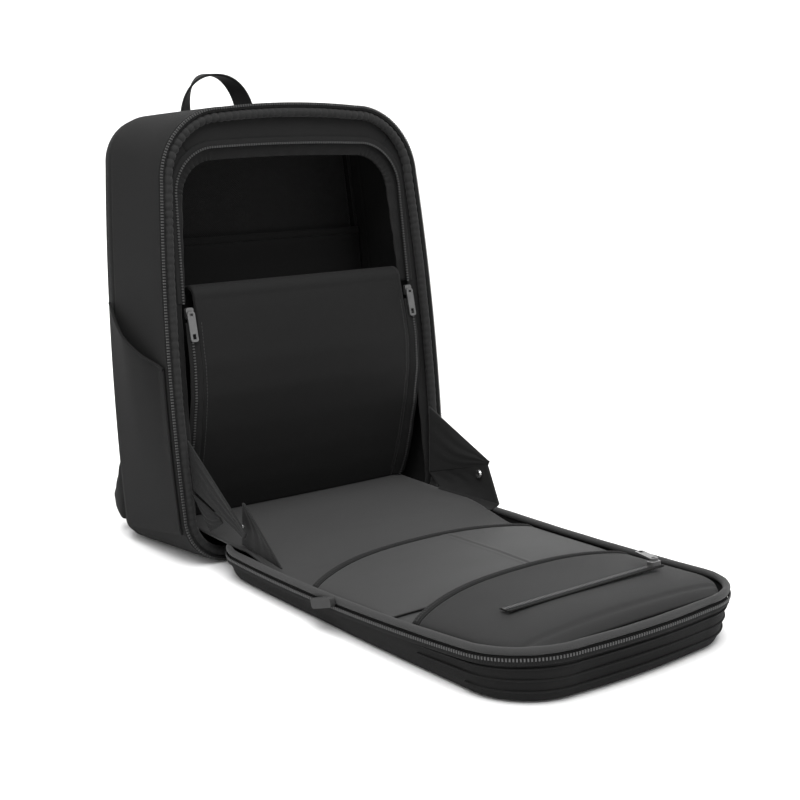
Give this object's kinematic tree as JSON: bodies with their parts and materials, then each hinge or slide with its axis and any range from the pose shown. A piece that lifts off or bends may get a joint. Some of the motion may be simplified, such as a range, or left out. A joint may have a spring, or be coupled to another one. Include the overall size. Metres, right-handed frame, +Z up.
{
  "type": "gaming backpack",
  "caption": "Structured backpack standing open, its whole front let down as a lid with slip pockets, a folded divider flap, side gussets, handle and shoulder straps.",
  "frame": {"origin": "on the flat underside of the body's base, on the centre line, 65 mm behind the foot of the opening", "axes": "+Z up, +Y towards the wearer's back, +X to the right of someone who looks into the opening"},
  "size_m": [0.3402, 0.6384, 0.4604],
  "materials": {
    "shell_fabric": "matt coated canvas",
    "lining_fabric": "matt woven lining",
    "organizer_fabric": "smooth padded lining with a soft sheen",
    "trim_tape": "ribbed tape and webbing",
    "binding_mesh": "ribbed elastic binding",
    "gunmetal": "satin gunmetal",
    "nickel": "bright nickel"
  },
  "bodies": {
    "root": {"side_wall_left": "shell_fabric", "side_wall_right": "shell_fabric", "top_wall": "shell_fabric", "base_wall": "shell_fabric", "back_panel": "shell_fabric", "lumbar_pad": "shell_fabric", "handle": "trim_tape", "shoulder_strap_left": "shell_fabric", "strap_buckle_left": "trim_tape", "strap_webbing_left": "trim_tape", "shoulder_strap_right": "shell_fabric", "strap_buckle_right": "trim_tape", "strap_webbing_right": "trim_tape", "side_pocket_left": "shell_fabric", "side_pocket_right": "shell_fabric", "opening_zip_tape": "trim_tape", "gathered_roll": "lining_fabric", "facing_panel": "lining_fabric", "inner_zip_tape": "trim_tape", "hem_strip": "lining_fabric", "slip_pocket": "lining_fabric", "slip_pocket_binding": "binding_mesh", "divider_flap": "lining_fabric", "flap_tape_left": "trim_tape", "flap_tape_right": "trim_tape", "slider_left": "gunmetal", "pull_left": "gunmetal", "slider_right": "gunmetal", "pull_right": "gunmetal", "lid_shell": "shell_fabric", "hinge_panel": "shell_fabric", "lid_rim_roll": "shell_fabric", "lid_zip_tape": "trim_tape", "lid_welt_upper": "trim_tape", "lid_welt_middle": "trim_tape", "lid_welt_lower": "trim_tape", "lid_liner": "organizer_fabric", "lid_pocket_middle": "organizer_fabric", "lid_pocket_binding_middle": "binding_mesh", "lid_pocket_end": "organizer_fabric", "lid_pocket_binding_end": "binding_mesh", "lid_pocket_zip": "trim_tape", "lid_slider": "gunmetal", "lid_pull": "gunmetal", "gusset_left_upper": "lining_fabric", "gusset_left_fold": "lining_fabric", "gusset_left_fin": "lining_fabric", "gusset_right_upper": "lining_fabric", "gusset_right_lower": "lining_fabric", "snap_left_upper": "nickel", "snap_left_fin": "nickel", "eyelet_right": "nickel", "zip_puller": "trim_tape", "zip_slider": "trim_tape"}
  },
  "joints": []
}
